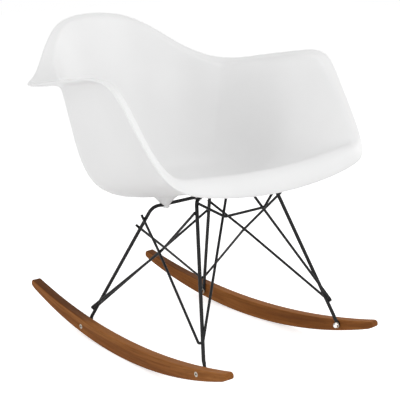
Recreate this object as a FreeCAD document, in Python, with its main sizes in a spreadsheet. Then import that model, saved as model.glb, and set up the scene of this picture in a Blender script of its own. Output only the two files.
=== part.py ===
import FreeCAD, Part
import math
import os
import Sketcher
from FreeCAD import Vector, Placement, Rotation

# Moulded plastic rocking armchair.
# Frame: millimetres, +Z up, floor at Z = 0, the chair faces -Y, and the sitter's left is +X.
# The origin lies on the floor, midway between the two points where the rockers touch it.

doc = FreeCAD.newDocument("rocking_armchair")
sheet = doc.addObject("Spreadsheet::Sheet", "dims")

DIMENSIONS = [
    # moulded shell
    ("shell_wall", 5.0),
    ("rim_thickness", 8.0),
    ("shell_half_width", 307.0),
    ("shell_reach_front", 352.7),
    ("shell_reach_back", 304.0),
    ("shell_rise", 439.2),
    ("edge_turn", 70.0),
    ("crest_rise", 43.0),
    ("edge_roll", 9.0),
    ("edge_roll_share", 0.35),
    # the seat's lowest point above the rear bar, and the seat above the front bar
    ("seat_above_rear_bar", 23.2),
    ("seat_above_front_bar", 15.1),
    ("floor_lowest_back", 40.0),
    ("floor_disc_radius", 34.0),
    ("floor_rise_back", 12.0),
    ("floor_rise_back_at", 145.0),
    ("floor_rise_side", 16.0),
    ("floor_rise_side_at", 180.0),
    ("floor_half_width", 186.0),
    ("floor_reach_front", 212.0),
    ("floor_reach_back", 140.0),
    ("floor_squareness", 2.05),
    ("wall_belly_side", 11.0),
    ("wall_belly_back", 9.0),
    ("wall_belly_upper_share", 0.35),
    # bosses under the seat and the clips that hold the frame's bars in them
    ("boss_radius", 9.8),
    ("boss_waist_radius", 15.5),
    ("boss_top_radius", 31.0),
    ("boss_cap_height", 40.0),
    ("rear_boss_offset", 47.0),
    ("front_boss_offset", 62.0),
    ("bar_play", 0.1),
    ("clip_thickness", 2.5),
    ("clip_width", 13.0),
    ("clip_screw_offset", 6.8),
    ("clip_screw_shank", 3.0),
    ("clip_screw_head", 4.8),
    ("clip_screw_head_height", 1.8),
    ("clip_screw_length", 16.0),
    ("screw_slot_width", 0.9),
    ("screw_slot_depth", 0.8),
    # bent rods
    ("leg_rod", 7.8),
    ("brace_rod", 5.7),
    ("leg_bend", 20.0),
    ("foot_bend", 14.0),
    ("brace_tip_bend", 5.0),
    ("brace_kink_bend", 60.0),
    ("cross_rod_bend", 16.0),
    ("weld_gap", 0.1),
    # rear frame
    ("rear_bar_back", 14.7),
    ("rear_bar_height", 307.8),
    ("rear_corner_half", 83.2),
    ("rear_node_height", 60.0),
    # front frame
    ("front_bar_forward", 158.8),
    ("front_bar_height", 368.0),
    ("front_corner_half", 106.9),
    ("front_node_height", 103.0),
    # flattened feet
    ("foot_thickness", 4.0),
    ("foot_width", 10.5),
    ("foot_above_bolt", 7.0),
    ("foot_flatten_length", 9.0),
    ("foot_straight", 4.0),
    ("foot_lean_rear", 14.0),
    ("foot_lean_front", 27.0),
    # braces
    ("rear_brace_up_front_leg", 338.0),
    ("rear_brace_up_rear_leg", 257.0),
    ("front_brace_up_rear_leg", 280.0),
    ("brace_overrun", 9.0),
    ("brace_short_overrun", 3.0),
    ("front_tip_half_span", 5.5),
    ("front_tip_bearing", -15.0),
    ("rear_tip_half_span", 5.4),
    ("rear_tip_bearing", 63.2),
    ("rear_tip_rise", 3.0),
    ("side_cross_half", 121.7),
    ("side_cross_forward", 58.3),
    ("side_cross_height", 232.4),
    ("rear_cross_back", 74.6),
    ("rear_cross_height", 182.7),
    ("front_brace_end_half", 28.0),
    # front cross rod
    ("cross_rod_half", 56.0),
    ("cross_rod_ahead_of_bar", 30.6),
    ("cross_rod_below_bar", 43.3),
    ("cross_rod_end_below_bar", 12.0),
    # rockers
    ("rocker_gauge_half", 201.5),
    ("rocker_toe_degrees", 3.0),
    ("rocker_width", 22.5),
    ("rocker_bottom_radius", 1062.6),
    ("rocker_top_radius", 1515.0),
    ("rocker_height", 37.2),
    ("rocker_front_length", 375.0),
    ("rocker_rear_length", 354.0),
    ("rocker_toe_cut", 12.0),
    ("rocker_toe_rise", 2.1),
    ("rocker_edge_round", 3.0),
    ("rocker_brow_round", 7.5),
    ("rocker_tip_round", 5.0),
    ("rocker_heel_round", 24.0),
    # rocker bolts
    ("front_bolt_forward", 283.7),
    ("front_bolt_height", 53.0),
    ("rear_bolt_back", 137.7),
    ("rear_bolt_height", 24.0),
    ("bolt_diameter", 6.0),
    ("bolt_hole_play", 0.4),
    ("bolt_head_diameter", 10.4),
    ("bolt_head_height", 2.4),
    ("bolt_socket_width", 4.0),
    ("bolt_socket_depth", 1.8),
    ("bolt_seat_diameter", 11.2),
    ("washer_diameter", 12.6),
    ("washer_thickness", 1.2),
    ("nut_across_flats", 10.0),
    ("nut_hex_height", 4.5),
    ("nut_dome_radius", 4.7),
    ("nut_length", 9.5),
]

# The rim of the shell, by station from the middle of the front edge round to the top of the back:
# half width, distance behind the seat's lowest point, height above the seat's pitch line (the
# straight line from its lowest point to the seat over the front bar), then how far the moulded
# edge turns outward, how far its crest stands above the rim and how full its roll is.
# The named overall sizes above stretch each column as a whole.
RIM = [
    ("front", 0.0, -352.7, -29.4, 34.0, 43.0, 9.0),
    ("front_inner", 85.0, -352.0, -25.7, 34.0, 41.5, 9.0),
    ("front_outer", 158.0, -349.5, -16.6, 33.0, 38.0, 9.0),
    ("knee_front", 220.0, -340.5, -3.2, 29.0, 31.0, 8.0),
    ("knee", 252.0, -324.0, 13.1, 24.0, 21.0, 6.0),
    ("shin_low", 273.0, -300.0, 42.4, 19.0, 11.0, 4.0),
    ("shin", 287.0, -262.0, 101.3, 17.0, 4.0, 2.0),
    ("shin_high", 295.0, -218.0, 172.9, 20.0, 1.0, 1.0),
    ("arm_tip", 302.5, -180.0, 227.8, 26.0, -3.0, 0.0),
    ("arm_front", 307.0, -136.0, 255.4, 34.0, -4.0, 0.0),
    ("arm_fore", 306.0, -80.0, 264.0, 42.0, -5.0, 0.0),
    ("arm_middle", 306.0, -15.0, 269.1, 48.0, -5.0, 0.0),
    ("arm_back", 305.0, 50.0, 273.6, 60.0, -3.0, 0.0),
    ("arm_rear", 298.0, 105.0, 277.5, 69.0, -1.0, 0.0),
    ("valley", 278.0, 145.0, 285.5, 70.0, 0.0, 0.0),
    ("flank", 243.0, 175.0, 301.9, 57.0, -2.0, 0.0),
    ("shoulder_low", 199.0, 216.0, 337.6, 32.0, -4.0, 0.0),
    ("shoulder", 148.0, 258.0, 387.6, 20.0, -5.0, 0.0),
    ("head_side", 84.0, 293.0, 427.3, 16.0, -4.0, 0.0),
    ("head", 0.0, 304.0, 439.2, 15.0, -4.0, 0.0),
]

row = 0
for name, value in DIMENSIONS:
    row += 1
    sheet.set("A%d" % row, name)
    sheet.set("B%d" % row, "%g" % value)
    sheet.setAlias("B%d" % row, name)
for station, half, behind, above, turn, crest, roll in RIM:
    for part_name, value in (("half", half), ("behind", behind), ("above", above),
                             ("turn", turn), ("crest", crest), ("roll", roll)):
        row += 1
        alias = "rim_%s_%s" % (station, part_name)
        sheet.set("A%d" % row, alias)
        sheet.set("B%d" % row, "%g" % value)
        sheet.setAlias("B%d" % row, alias)
doc.recompute()


def dim(name):
    return float(sheet.get(name))


def bind(obj, **properties):
    for prop, formula in properties.items():
        obj.setExpression(prop, formula)


NODES = []


def node(obj, name):
    obj.Label = name
    NODES.append((obj, name))
    return obj


def mirrored(source, name):
    copy = doc.addObject("Part::Mirroring", name + "_mirror")
    copy.Source = source
    copy.Base = Vector(0, 0, 0)
    copy.Normal = Vector(1, 0, 0)
    return copy


def fused(name, pieces):
    joined = doc.addObject("Part::MultiFuse", name)
    joined.Shapes = pieces
    return joined


def welded(name, pieces):
    """Pieces joined one after the other, each to what is already there."""
    whole = pieces[0]
    for index, piece in enumerate(pieces[1:]):
        step = doc.addObject("Part::Fuse", "%s_weld_%d" % (name, index))
        step.Base = whole
        step.Tool = piece
        step.Refine = False
        whole = step
    return whole


def cut(name, base, tool):
    result = doc.addObject("Part::Cut", name)
    result.Base = base
    result.Tool = tool
    result.Refine = False
    return result


# Rods bent from straight runs and arcs.

def rod_wire(points, radii):
    """Straight runs through the points, each inner point rounded by an arc of the given radius."""
    edges = []
    start = points[0]
    for i in range(1, len(points) - 1):
        before = (points[i - 1] - points[i]).normalize()
        after = (points[i + 1] - points[i]).normalize()
        half_angle = before.getAngle(after) / 2.0
        radius = radii[i - 1]
        reach = radius / math.tan(half_angle)
        if math.pi - 2.0 * half_angle < 0.01:
            continue
        first = points[i] + before * reach
        last = points[i] + after * reach
        bisector = (before + after).normalize()
        centre = points[i] + bisector * (radius / math.sin(half_angle))
        middle = centre - bisector * radius
        edges.append(Part.LineSegment(start, first).toShape())
        edges.append(Part.Arc(first, middle, last).toShape())
        start = last
    edges.append(Part.LineSegment(start, points[-1]).toShape())
    return Part.Wire(edges)


def rod(name, points, radii, diameter_alias):
    path = doc.addObject("Part::Feature", name + "_path")
    path.Shape = rod_wire(points, radii)
    section = doc.addObject("Part::Circle", name + "_section")
    bind(section, Radius="dims.%s / 2" % diameter_alias)
    direction = (points[1] - points[0]).normalize()
    section.Placement = Placement(points[0], Rotation(Vector(0, 0, 1), direction))
    sweep = doc.addObject("Part::Sweep", name + "_sweep")
    sweep.Sections = [section]
    sweep.Spine = (path, ["Edge%d" % (i + 1) for i in range(len(path.Shape.Edges))])
    sweep.Solid = True
    sweep.Frenet = False
    return sweep


def mirror_x(p):
    return Vector(-p.x, p.y, p.z)


def along(a, b, height):
    """Point of the line through a and b at the given height."""
    return a + (b - a) * ((height - a.z) / (b.z - a.z))


def beside(point, rod_direction, other_direction, distance, towards):
    """Point at a distance from a rod, square to both directions, on the side of towards."""
    square = rod_direction.cross(other_direction).normalize()
    if square.dot(towards) < 0:
        square = square * -1.0
    return point + square * distance


# Rockers.

GAUGE = dim("rocker_gauge_half")
TOE = math.radians(dim("rocker_toe_degrees"))
LEFT_ROCKER = Placement(Vector(GAUGE, 0, 0), Rotation(Vector(0, 0, 1), dim("rocker_toe_degrees")))


def rocker_point(out, back, height):
    """World point from the left rocker's own frame: out from its outer face, back along it."""
    return LEFT_ROCKER.multVec(Vector(out, back, height))


def bottom_height(back):
    radius = dim("rocker_bottom_radius")
    return radius - math.sqrt(radius * radius - back * back)


def top_height(back):
    radius = dim("rocker_top_radius")
    return dim("rocker_height") + radius - math.sqrt(radius * radius - back * back)


def add_arc(sketch, centre, radius, first, last):
    """Arc of a circle from first to last, counter-clockwise, both as (x, y)."""
    a = math.atan2(first[1] - centre[1], first[0] - centre[0])
    b = math.atan2(last[1] - centre[1], last[0] - centre[0])
    circle = Part.Circle(Vector(centre[0], centre[1], 0), Vector(0, 0, 1), radius)
    return sketch.addGeometry(Part.ArcOfCircle(circle, a, b), False)


def add_line(sketch, first, last):
    segment = Part.LineSegment(Vector(first[0], first[1], 0), Vector(last[0], last[1], 0))
    return sketch.addGeometry(segment, False)


def plane_of(body, role):
    for feature in body.Origin.OriginFeatures:
        if feature.Role == role:
            return feature
    raise RuntimeError("no plane " + role)


body = doc.addObject("PartDesign::Body", "rocker_left_body")
outline = body.newObject("Sketcher::SketchObject", "rocker_outline")
outline.AttachmentSupport = [(plane_of(body, "YZ_Plane"), "")]
outline.MapMode = "FlatFace"
front = -dim("rocker_front_length")
rear = dim("rocker_rear_length")
toe_cut = dim("rocker_toe_cut")
toe_rise = dim("rocker_toe_rise")
heel_front = (front + toe_cut, bottom_height(front + toe_cut))
heel_rear = (rear - toe_cut, bottom_height(rear - toe_cut))


def toe_lift(back):
    """Rise of the toe's lower line from the heel to the tip: the sole's own slope there and a little more."""
    radius = dim("rocker_bottom_radius")
    return toe_cut * abs(back) / math.sqrt(radius * radius - back * back) + toe_rise


tip_front = (front, heel_front[1] + toe_lift(heel_front[0]))
tip_rear = (rear, heel_rear[1] + toe_lift(heel_rear[0]))
brow_front = (front, top_height(front))
brow_rear = (rear, top_height(rear))
bottom_radius = dim("rocker_bottom_radius")
top_radius = dim("rocker_top_radius")
sole = add_arc(outline, (0, bottom_radius), bottom_radius, heel_front, heel_rear)
toe_rear = add_line(outline, heel_rear, tip_rear)
end_rear = add_line(outline, tip_rear, brow_rear)
back_arc = add_arc(outline, (0, dim("rocker_height") + top_radius), top_radius, brow_front, brow_rear)
end_front = add_line(outline, brow_front, tip_front)
toe_front = add_line(outline, tip_front, heel_front)
outline.addConstraint(Sketcher.Constraint("Coincident", sole, 2, toe_rear, 1))
outline.addConstraint(Sketcher.Constraint("Coincident", toe_rear, 2, end_rear, 1))
outline.addConstraint(Sketcher.Constraint("Coincident", end_rear, 2, back_arc, 2))
outline.addConstraint(Sketcher.Constraint("Coincident", back_arc, 1, end_front, 1))
outline.addConstraint(Sketcher.Constraint("Coincident", end_front, 2, toe_front, 1))
outline.addConstraint(Sketcher.Constraint("Coincident", toe_front, 2, sole, 1))
outline.addConstraint(Sketcher.Constraint("Vertical", end_rear))
outline.addConstraint(Sketcher.Constraint("Vertical", end_front))
outline.addConstraint(Sketcher.Constraint("PointOnObject", sole, 3, -2))
outline.addConstraint(Sketcher.Constraint("PointOnObject", back_arc, 3, -2))


def drive(sketch, kind, arguments, formula, value):
    """A driving constraint whose value follows the sheet."""
    index = sketch.addConstraint(Sketcher.Constraint(kind, *(list(arguments) + [value])))
    sketch.setExpression("Constraints[%d]" % index, formula)
    return index


drive(outline, "Radius", (sole,), "dims.rocker_bottom_radius", bottom_radius)
drive(outline, "Radius", (back_arc,), "dims.rocker_top_radius", top_radius)
drive(outline, "DistanceY", (-1, 1, sole, 3), "dims.rocker_bottom_radius", bottom_radius)
drive(outline, "DistanceY", (-1, 1, back_arc, 3), "dims.rocker_height + dims.rocker_top_radius",
      dim("rocker_height") + top_radius)
drive(outline, "DistanceX", (-1, 1, end_rear, 1), "dims.rocker_rear_length", rear)
drive(outline, "DistanceX", (end_front, 1, -1, 1), "dims.rocker_front_length", -front)
drive(outline, "DistanceX", (toe_rear, 1, toe_rear, 2), "dims.rocker_toe_cut", toe_cut)
drive(outline, "DistanceX", (toe_front, 1, toe_front, 2), "dims.rocker_toe_cut", toe_cut)
LIFT = ("dims.rocker_toe_cut * (dims.%s - dims.rocker_toe_cut) / sqrt(dims.rocker_bottom_radius ^ 2"
        " - (dims.%s - dims.rocker_toe_cut) ^ 2) + dims.rocker_toe_rise")
drive(outline, "DistanceY", (toe_rear, 1, toe_rear, 2), LIFT % (("rocker_rear_length",) * 2),
      toe_lift(heel_rear[0]))
drive(outline, "DistanceY", (toe_front, 2, toe_front, 1), LIFT % (("rocker_front_length",) * 2),
      toe_lift(heel_front[0]))
doc.recompute()

plank = body.newObject("PartDesign::Pad", "rocker_plank")
plank.Profile = outline
plank.Reversed = True
bind(plank, Length="dims.rocker_width")
doc.recompute()


def bolt_sketch(name, diameter_formula, diameter):
    """Two circles at the bolt places, on the rocker's outer face."""
    sketch = body.newObject("Sketcher::SketchObject", name)
    sketch.AttachmentSupport = [(plane_of(body, "YZ_Plane"), "")]
    sketch.MapMode = "FlatFace"
    places = (
        (-dim("front_bolt_forward"), dim("front_bolt_height"), "front_bolt_forward", "front_bolt_height"),
        (dim("rear_bolt_back"), dim("rear_bolt_height"), "rear_bolt_back", "rear_bolt_height"),
    )
    for x, y, x_alias, y_alias in places:
        circle = Part.Circle(Vector(x, y, 0), Vector(0, 0, 1), diameter / 2.0)
        index = sketch.addGeometry(circle, False)
        drive(sketch, "Diameter", (index,), diameter_formula, diameter)
        drive(sketch, "DistanceY", (-1, 1, index, 3), "dims." + y_alias, y)
        if x < 0:
            drive(sketch, "DistanceX", (index, 3, -1, 1), "dims." + x_alias, -x)
        else:
            drive(sketch, "DistanceX", (-1, 1, index, 3), "dims." + x_alias, x)
    return sketch


hole_sketch = bolt_sketch("rocker_bolt_holes", "dims.bolt_diameter + dims.bolt_hole_play",
                          dim("bolt_diameter") + dim("bolt_hole_play"))
seat_sketch = bolt_sketch("rocker_bolt_seats", "dims.bolt_seat_diameter", dim("bolt_seat_diameter"))
doc.recompute()
holes = body.newObject("PartDesign::Pocket", "rocker_holes")
holes.Profile = hole_sketch
holes.Type = 1
doc.recompute()
if abs(holes.Shape.Volume - plank.Shape.Volume) < 100.0:
    holes.Reversed = True
    doc.recompute()
seats = body.newObject("PartDesign::Pocket", "rocker_seats")
seats.Profile = seat_sketch
bind(seats, Length="dims.bolt_head_height")
doc.recompute()
if abs(seats.Shape.Volume - holes.Shape.Volume) < 50.0:
    seats.Reversed = True
    doc.recompute()


def edge_names(shape, wanted):
    return ["Edge%d" % (i + 1) for i, edge in enumerate(shape.Edges) if wanted(edge)]


def runs_across(edge, stations):
    """True for an edge straight across the plank at one of the given distances along it."""
    if len(edge.Vertexes) != 2:
        return False
    a = edge.Vertexes[0].Point
    b = edge.Vertexes[1].Point
    across = abs(a.x - b.x) > dim("rocker_width") * 0.9
    return across and min(abs(a.y - station) for station in stations) < 0.5


def is_brow(edge):
    """The short edges across the plank at the upper corner of both ends."""
    return runs_across(edge, (front, rear)) and edge.CenterOfMass.z > brow_limit


def is_tip(edge):
    """The short edges across the plank at the lower corner of both ends."""
    return runs_across(edge, (front, rear)) and edge.CenterOfMass.z < brow_limit


def is_heel(edge):
    """The edges across the plank where the sole turns up to the ends."""
    return runs_across(edge, (heel_front[0], heel_rear[0]))


heels = body.newObject("PartDesign::Fillet", "rocker_round_heels")
heels.Base = (seats, edge_names(seats.Shape, is_heel))
bind(heels, Radius="dims.rocker_heel_round")
doc.recompute()
brow_limit = (min(brow_front[1], brow_rear[1]) + max(tip_front[1], tip_rear[1])) / 2.0
# the rounds at both ends share the height of the shorter end face
end_face = min(brow_front[1] - tip_front[1], brow_rear[1] - tip_rear[1])
brow_round = min(dim("rocker_brow_round"), end_face * 0.52)
tip_round = min(dim("rocker_tip_round"), end_face * 0.36)
brows = body.newObject("PartDesign::Fillet", "rocker_round_brows")
brows.Base = (heels, edge_names(heels.Shape, is_brow))
bind(brows, Radius="min(dims.rocker_brow_round; %g)" % brow_round)
doc.recompute()
ends = body.newObject("PartDesign::Fillet", "rocker_round_tips")
ends.Base = (brows, edge_names(brows.Shape, is_tip))
bind(ends, Radius="min(dims.rocker_tip_round; %g)" % tip_round)
doc.recompute()


def is_long_edge(edge):
    """The edges that run round both flat faces of the plank."""
    box = edge.BoundBox
    flat = box.XMax - box.XMin < 0.01
    closed = len(edge.Vertexes) < 2
    return flat and not closed and edge.Length > 1.0


rounded = body.newObject("PartDesign::Fillet", "rocker_round_edges")
rounded.Base = (ends, edge_names(ends.Shape, is_long_edge))
bind(rounded, Radius="dims.rocker_edge_round")
doc.recompute()
body.Tip = rounded
body.Placement = LEFT_ROCKER
doc.recompute()
node(body, "rocker_left")
node(mirrored(body, "rocker_right"), "rocker_right")

# Frames: thick rod with flattened feet.

LEG = dim("leg_rod")
THIN = dim("brace_rod")
INNER = -dim("rocker_width")

rear_corner = Vector(dim("rear_corner_half"), dim("rear_bar_back"), dim("rear_bar_height"))
front_corner = Vector(dim("front_corner_half"), -dim("front_bar_forward"), dim("front_bar_height"))


def foot_axis(lean):
    """Direction up the flattened foot in the rocker's frame: leaning from the vertical."""
    angle = math.radians(lean)
    return math.sin(angle), math.cos(angle)


def foot(name, back, height, lean, leg_side):
    """Flattened end of a leg against the rocker's inner face, drilled for the bolt."""
    sideways, upward = foot_axis(lean)
    sideways = sideways * leg_side
    thickness = dim("foot_thickness")
    above = dim("foot_above_bolt")
    turn = Rotation(Vector(1, 0, 0), -math.degrees(math.atan2(sideways, upward)))
    local = Placement(Vector(INNER, back, height), turn)
    base = LEFT_ROCKER.multiply(local)
    blade = doc.addObject("Part::Box", name + "_blade")
    bind(blade, Length="dims.foot_thickness", Width="dims.foot_width", Height="dims.foot_above_bolt")
    shift = Placement(Vector(-thickness, -dim("foot_width") / 2.0, 0), Rotation())
    blade.Placement = base.multiply(shift)
    eye = doc.addObject("Part::Cylinder", name + "_eye")
    bind(eye, Radius="dims.foot_width / 2", Height="dims.foot_thickness")
    lay = Rotation(Vector(0, 1, 0), -90)
    eye.Placement = base.multiply(Placement(Vector(0, 0, 0), lay))
    drill = doc.addObject("Part::Cylinder", name + "_drill")
    bind(drill, Radius="(dims.bolt_diameter + dims.bolt_hole_play) / 2", Height="dims.foot_thickness * 3")
    drill.Placement = base.multiply(Placement(Vector(thickness, 0, 0), lay))
    round_end = doc.addObject("Part::Circle", name + "_round")
    bind(round_end, Radius="dims.leg_rod / 2")
    top = above + dim("foot_flatten_length")
    round_end.Placement = base.multiply(Placement(Vector(-LEG / 2.0, 0, top), Rotation()))
    flat_end = doc.addObject("Part::Ellipse", name + "_flat")
    bind(flat_end, MajorRadius="dims.foot_width / 2", MinorRadius="dims.foot_thickness / 2")
    spin = Rotation(Vector(0, 0, 1), 90)
    flat_end.Placement = base.multiply(Placement(Vector(-thickness / 2.0, 0, above - 1.0), spin))
    # both outlines start at the same side so that the loft between them doesn't twist
    round_end.Placement = round_end.Placement.multiply(Placement(Vector(), spin))
    neck = doc.addObject("Part::Loft", name + "_neck")
    neck.Sections = [flat_end, round_end]
    neck.Solid = True
    neck.Ruled = False
    start = base.multVec(Vector(-LEG / 2.0, 0, top))
    bend = base.multVec(Vector(-LEG / 2.0, 0, top + dim("foot_straight")))
    return start, bend, [neck, blade, eye], drill


def frame(name, corner, back, height, lean, leg_side):
    """A rod bent to an upside-down U, with both ends flattened into feet."""
    start, ankle, pieces, drill = foot(name + "_foot_end", back, height, lean, leg_side)
    points = [start, ankle, corner, mirror_x(corner), mirror_x(ankle), mirror_x(start)]
    bends = [dim("foot_bend"), dim("leg_bend"), dim("leg_bend"), dim("foot_bend")]
    bar = rod(name, points, bends, "leg_rod")
    both_feet = []
    for piece in pieces:
        both_feet += [piece, mirrored(piece, piece.Name + "_other")]
    whole = welded(name, [bar] + both_feet)
    drills = fused(name + "_drills", [drill, mirrored(drill, name + "_other_drill")])
    doc.recompute()
    return cut(name, whole, drills), ankle


rear_frame, rear_ankle = frame("rear_frame_part", rear_corner, dim("rear_bolt_back"),
                               dim("rear_bolt_height"), dim("foot_lean_rear"), -1.0)
front_frame, front_ankle = frame("front_frame_part", front_corner, -dim("front_bolt_forward"),
                                 dim("front_bolt_height"), dim("foot_lean_front"), 1.0)
node(rear_frame, "rear_frame")
node(front_frame, "front_frame")

# Braces: thin rod bent to a V at the foot of each leg.

APART = (LEG + THIN) / 2.0 + dim("weld_gap")
THIN_APART = THIN + dim("weld_gap")
OUT = Vector(1, 0, 0)
rear_leg = (rear_corner - rear_ankle).normalize()
front_leg = (front_corner - front_ankle).normalize()
rear_node = along(rear_ankle, rear_corner, dim("rear_node_height"))
front_node = along(front_ankle, front_corner, dim("front_node_height"))

side_cross = Vector(dim("side_cross_half"), -dim("side_cross_forward"), dim("side_cross_height"))
side_outer = side_cross + OUT * (THIN_APART / 2.0)
side_inner = side_cross - OUT * (THIN_APART / 2.0)


def tip_points(node_point, leg, bearing, half_span):
    """The two corners of a V's narrow end, round the outer side of the leg."""
    angle = math.radians(bearing)
    level = Vector(math.cos(angle), math.sin(angle), 0)
    outward = (level - leg * level.dot(leg)).normalize()
    round_leg = leg.cross(outward)
    middle = node_point + outward * APART
    return middle + round_leg * half_span, middle - round_leg * half_span


def overrun(before, last, length):
    return last + (last - before).normalize() * length


# V at the rear foot: one arm forward and up to the front leg, one arm across to the other rear leg
front_high = along(front_ankle, front_corner, dim("rear_brace_up_front_leg"))
rear_high = mirror_x(along(rear_ankle, rear_corner, dim("rear_brace_up_rear_leg")))
rear_cross = Vector(0, dim("rear_cross_back"), dim("rear_cross_height"))


def rear_brace(name, depth_side):
    cross = rear_cross + Vector(0, depth_side * THIN_APART / 2.0, 0)
    tip_across, tip_forward = tip_points(rear_node, rear_leg, dim("rear_tip_bearing"),
                                         dim("rear_tip_half_span"))
    tip_forward = tip_forward + Vector(0, 0, dim("rear_tip_rise"))
    tip_across = tip_across - Vector(0, 0, dim("rear_tip_rise"))
    top_forward = beside(front_high, front_leg, (front_high - side_inner), APART, OUT)
    mirror_leg = mirror_x(rear_leg)
    top_across = beside(rear_high, mirror_leg, (rear_high - cross), APART, Vector(0, 1, 0))
    points = [overrun(side_inner, top_forward, dim("brace_short_overrun")), side_inner, tip_forward,
              tip_across, cross, overrun(cross, top_across, dim("brace_overrun"))]
    bends = [dim("brace_kink_bend"), dim("brace_tip_bend"), dim("brace_tip_bend"), dim("brace_kink_bend")]
    return rod(name, points, bends, "brace_rod")


# V at the front foot: one arm back and up to the rear leg, one arm inward and up to the front bar
rear_top = along(rear_ankle, rear_corner, dim("front_brace_up_rear_leg"))
bar_end = Vector(dim("front_brace_end_half"), -dim("front_bar_forward"), dim("front_bar_height"))


def front_brace(name):
    tip_back, tip_inward = tip_points(front_node, front_leg, dim("front_tip_bearing"),
                                      dim("front_tip_half_span"))
    top_back = beside(rear_top, rear_leg, (rear_top - side_outer), APART, OUT)
    top_inward = beside(bar_end, Vector(1, 0, 0), (bar_end - front_node), APART, Vector(0, -1, 0))
    points = [overrun(side_outer, top_back, dim("brace_overrun")), side_outer, tip_back,
              tip_inward, top_inward]
    bends = [dim("brace_kink_bend"), dim("brace_tip_bend"), dim("brace_tip_bend")]
    return rod(name, points, bends, "brace_rod")


for side in ("left", "right"):
    depth_side = 1.0 if side == "right" else -1.0
    brace = rear_brace("rear_brace_%s_rod" % side, depth_side)
    brace_front = front_brace("front_brace_%s_rod" % side)
    doc.recompute()
    if side == "right":
        brace = mirrored(brace, "rear_brace_right")
        brace_front = mirrored(brace_front, "front_brace_right")
    node(brace, "brace_rear_" + side)
    node(brace_front, "brace_front_" + side)

# Cross rod between the front legs.

cross_bend = Vector(dim("cross_rod_half"), -dim("front_bar_forward") - dim("cross_rod_ahead_of_bar"),
                    dim("front_bar_height") - dim("cross_rod_below_bar"))
cross_seat = along(front_ankle, front_corner, dim("front_bar_height") - dim("cross_rod_end_below_bar"))
cross_end = beside(cross_seat, front_leg, (cross_seat - cross_bend), APART, Vector(0, -1, 0))
cross_points = [cross_end, cross_bend, mirror_x(cross_bend), mirror_x(cross_end)]
cross_rod = rod("cross_rod", cross_points, [dim("cross_rod_bend")] * 2, "brace_rod")
doc.recompute()
node(cross_rod, "front_cross_rod")

# Rocker bolts, washers and domed nuts.

head_height = dim("bolt_head_height")
shank_length = (dim("rocker_width") - head_height + dim("foot_thickness") + dim("washer_thickness")
                + dim("nut_hex_height") + 1.0)


def fastener(place, back, height):
    """Bolt from the outer face, washer and domed nut behind the flattened foot."""
    lay = Rotation(Vector(0, 1, 0), -90)
    base = LEFT_ROCKER.multiply(Placement(Vector(0, back, height), lay))

    def put(obj, inward):
        obj.Placement = base.multiply(Placement(Vector(0, 0, inward), Rotation()))
        return obj

    name = "rocker_" + place
    head = doc.addObject("Part::Cylinder", name + "_head")
    bind(head, Radius="dims.bolt_head_diameter / 2", Height="dims.bolt_head_height")
    put(head, 0)
    shank = doc.addObject("Part::Cylinder", name + "_shank")
    bind(shank, Radius="dims.bolt_diameter / 2",
         Height="dims.rocker_width - dims.bolt_head_height + dims.foot_thickness"
                " + dims.washer_thickness + dims.nut_hex_height + 1")
    put(shank, head_height)
    socket = doc.addObject("Part::Prism", name + "_socket")
    socket.Polygon = 6
    bind(socket, Circumradius="dims.bolt_socket_width / 2 / cos(30)", Height="dims.bolt_socket_depth * 2")
    put(socket, -dim("bolt_socket_depth"))
    bolt = cut(name + "_bolt", fused(name + "_bolt_body", [head, shank]), socket)
    inner = dim("rocker_width") + dim("foot_thickness")
    washer_disc = doc.addObject("Part::Cylinder", name + "_washer_disc")
    bind(washer_disc, Radius="dims.washer_diameter / 2", Height="dims.washer_thickness")
    put(washer_disc, inner)
    washer_hole = doc.addObject("Part::Cylinder", name + "_washer_hole")
    bind(washer_hole, Radius="(dims.bolt_diameter + dims.bolt_hole_play) / 2",
         Height="dims.washer_thickness * 3")
    put(washer_hole, inner - dim("washer_thickness"))
    washer = cut(name + "_washer", washer_disc, washer_hole)
    inner = inner + dim("washer_thickness")
    hexagon = doc.addObject("Part::Prism", name + "_hexagon")
    hexagon.Polygon = 6
    bind(hexagon, Circumradius="dims.nut_across_flats / 2 / cos(30)", Height="dims.nut_hex_height")
    put(hexagon, inner)
    collar = doc.addObject("Part::Cylinder", name + "_collar")
    bind(collar, Radius="dims.nut_dome_radius", Height="dims.nut_length - dims.nut_dome_radius")
    put(collar, inner)
    dome = doc.addObject("Part::Sphere", name + "_dome")
    bind(dome, Radius="dims.nut_dome_radius")
    put(dome, inner + dim("nut_length") - dim("nut_dome_radius"))
    thread = doc.addObject("Part::Cylinder", name + "_thread")
    bind(thread, Radius="dims.bolt_diameter / 2 + 0.05", Height="dims.nut_hex_height + 1.2")
    put(thread, inner)
    nut = cut(name + "_nut", fused(name + "_nut_body", [hexagon, collar, dome]), thread)
    return bolt, washer, nut


PLACES = (
    ("front", -dim("front_bolt_forward"), dim("front_bolt_height")),
    ("rear", dim("rear_bolt_back"), dim("rear_bolt_height")),
)
for place, back, height in PLACES:
    bolt, washer, nut = fastener(place, back, height)
    doc.recompute()
    for piece, word in ((bolt, "bolt"), (washer, "washer"), (nut, "cap_nut")):
        node(piece, "rocker_%s_%s_left" % (word, place))
        node(mirrored(piece, "rocker_%s_%s_right" % (word, place)), "rocker_%s_%s_right" % (word, place))

# Moulded shell.


def closed_ring(half):
    """The whole ring of points from the half between the middle of the front and of the back."""
    return half + [mirror_x(p) for p in half[-2:0:-1]]


def through(ring):
    """Control points of the closed curve that passes through the ring's points."""
    count = len(ring)
    control = [Vector(p) for p in ring]
    for _ in range(60):
        control = [control[i] + (ring[i] - (control[i - 1] + control[i] * 4.0
                   + control[(i + 1) % count]) * (1.0 / 6.0)) for i in range(count)]
    return control


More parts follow.
